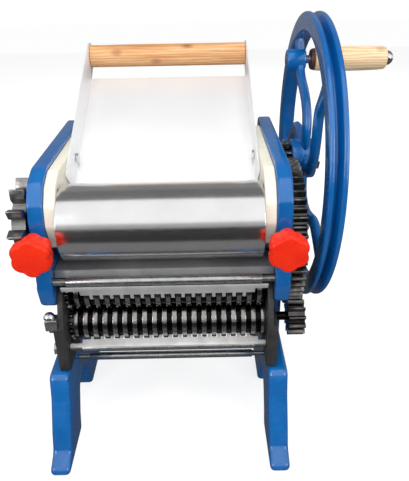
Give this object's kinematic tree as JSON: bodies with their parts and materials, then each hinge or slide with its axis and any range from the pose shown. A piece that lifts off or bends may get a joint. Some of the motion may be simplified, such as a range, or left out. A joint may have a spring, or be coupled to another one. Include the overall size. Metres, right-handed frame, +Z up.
{
  "type": "pasta machine",
  "caption": "Hand-cranked dough sheeter and noodle cutter: cast side frames, smooth rollers, a ring-roll cutter head, a feed tray and a spoked flywheel with a wooden crank grip.",
  "frame": {"origin": "on the floor, in the middle of the whole machine's bounding box", "axes": "+Z up; +X towards the side with the flywheel and crank, along the rollers; -Y towards the person who cranks it and takes the noodles"},
  "size_m": [0.4298, 0.4132, 0.4347],
  "materials": {
    "blue_enamel": "glossy blue enamel on cast iron",
    "cream_nylon": "satin cream nylon",
    "red_plastic": "glossy orange-red moulded plastic",
    "ground_steel": "turned and ground steel",
    "dark_gear": "oiled dark gear iron with bright worn teeth",
    "dark_casting": "dark grey sand casting",
    "zinc": "zinc-plated steel",
    "chrome": "polished chrome plate",
    "sheet_steel": "bright stainless sheet",
    "pine": "clear-varnished light pine",
    "bronze": "sintered bronze"
  },
  "bodies": {
    "frame": {"left_side_frame": "blue_enamel", "right_side_frame": "blue_enamel", "left_cheek": "cream_nylon", "right_cheek": "cream_nylon", "left_cheek_screw": "zinc", "right_cheek_screw": "zinc", "left_roller_bush": "bronze", "right_roller_bush": "bronze", "upper_tie_bolt": "zinc", "lower_tie_bolt": "zinc", "rear_tie_bolt": "zinc", "upper_tie_nut": "zinc", "lower_tie_nut": "zinc", "rear_tie_nut": "zinc", "feed_tray": "sheet_steel", "carry_bar": "pine", "left_carry_bar_screw": "zinc", "right_carry_bar_screw": "zinc", "left_tray_bolt": "chrome", "right_tray_bolt": "chrome", "front_scraper": "dark_casting", "rear_scraper": "sheet_steel", "left_end_plate": "dark_casting", "right_end_plate": "dark_casting", "upper_comb": "sheet_steel", "upper_comb_holder": "dark_casting", "lower_comb": "sheet_steel", "cutter_tie_bolt": "zinc", "clamp_block": "dark_casting"},
    "flywheel": {"flywheel_shaft": "ground_steel", "flywheel_pinion": "dark_gear", "flywheel": "blue_enamel", "flywheel_nut": "zinc", "flywheel_shaft_collar": "zinc", "crank_stud": "zinc", "crank_cap_nut": "chrome"},
    "crank_grip": {"crank_grip": "pine"},
    "rear_roller": {"rear_roller": "ground_steel", "rear_roller_shaft": "ground_steel", "rear_sync_gear": "dark_gear", "rear_sync_nut": "zinc", "drive_gear": "dark_gear", "drive_gear_nut": "zinc"},
    "carriage": {"left_bearing_block": "dark_casting", "right_bearing_block": "dark_casting"},
    "front_roller": {"front_roller": "ground_steel", "front_roller_shaft": "ground_steel", "front_sync_gear": "dark_gear", "front_sync_nut": "zinc"},
    "lower_cutter": {"lower_cutter_roll": "ground_steel", "cutter_gear": "dark_gear", "lower_cutter_sync_gear": "ground_steel"},
    "upper_cutter": {"upper_cutter_roll": "ground_steel", "upper_cutter_sync_gear": "ground_steel"},
    "left_knob": {"left_knob": "red_plastic", "left_adjusting_screw": "zinc"},
    "right_knob": {"right_knob": "red_plastic", "right_adjusting_screw": "zinc"},
    "clamp_screw": {"clamp_screw": "chrome"}
  },
  "joints": [
    {"name": "flywheel_spin", "type": "hinge", "parent": "frame", "child": "flywheel", "pos_m": [-0.06563, 0.03858, 0.26669], "axis": [1, 0, 0], "continuous": true},
    {"name": "crank_grip_spin", "type": "hinge", "parent": "flywheel", "child": "crank_grip", "pos_m": [0.15917, 0.09939, 0.37417], "axis": [1, 0, 0], "continuous": true},
    {"name": "rear_roller_spin", "type": "hinge", "parent": "frame", "child": "rear_roller", "pos_m": [-0.06563, -0.04057, 0.20705], "axis": [1, 0, 0], "continuous": true},
    {"name": "front_roller_slide", "type": "slide", "parent": "frame", "child": "carriage", "axis": [0, -1, 0], "range_m": [0, 0.004]},
    {"name": "front_roller_spin", "type": "hinge", "parent": "carriage", "child": "front_roller", "pos_m": [-0.06563, -0.10358, 0.2547], "axis": [1, 0, 0], "continuous": true},
    {"name": "lower_cutter_spin", "type": "hinge", "parent": "frame", "child": "lower_cutter", "pos_m": [-0.06563, -0.11161, 0.13796], "axis": [1, 0, 0], "continuous": true},
    {"name": "upper_cutter_spin", "type": "hinge", "parent": "frame", "child": "upper_cutter", "pos_m": [-0.06563, -0.10952, 0.178], "axis": [1, 0, 0], "continuous": true},
    {"name": "left_knob_turn", "type": "hinge", "parent": "carriage", "child": "left_knob", "pos_m": [-0.18538, -0.10358, 0.2472], "axis": [0, -1, 0], "range_deg": [0, 960]},
    {"name": "right_knob_turn", "type": "hinge", "parent": "carriage", "child": "right_knob", "pos_m": [0.05412, -0.10358, 0.2472], "axis": [0, -1, 0], "range_deg": [0, 960]},
    {"name": "clamp_screw_turn", "type": "hinge", "parent": "frame", "child": "clamp_screw", "pos_m": [-0.18593, -0.14211, 0.15109], "axis": [0, 0, 1], "range_deg": [0, 720]}
  ],
  "couplings": [
    {"joint": "rear_roller_spin", "follows": "flywheel_spin", "ratio": -0.22222},
    {"joint": "front_roller_spin", "follows": "flywheel_spin", "ratio": 0.22222},
    {"joint": "lower_cutter_spin", "follows": "flywheel_spin", "ratio": 1},
    {"joint": "upper_cutter_spin", "follows": "flywheel_spin", "ratio": -1},
    {"joint": "left_knob_turn", "follows": "front_roller_slide", "rad_per_m": 4188.8},
    {"joint": "right_knob_turn", "follows": "front_roller_slide", "rad_per_m": 4188.8}
  ]
}
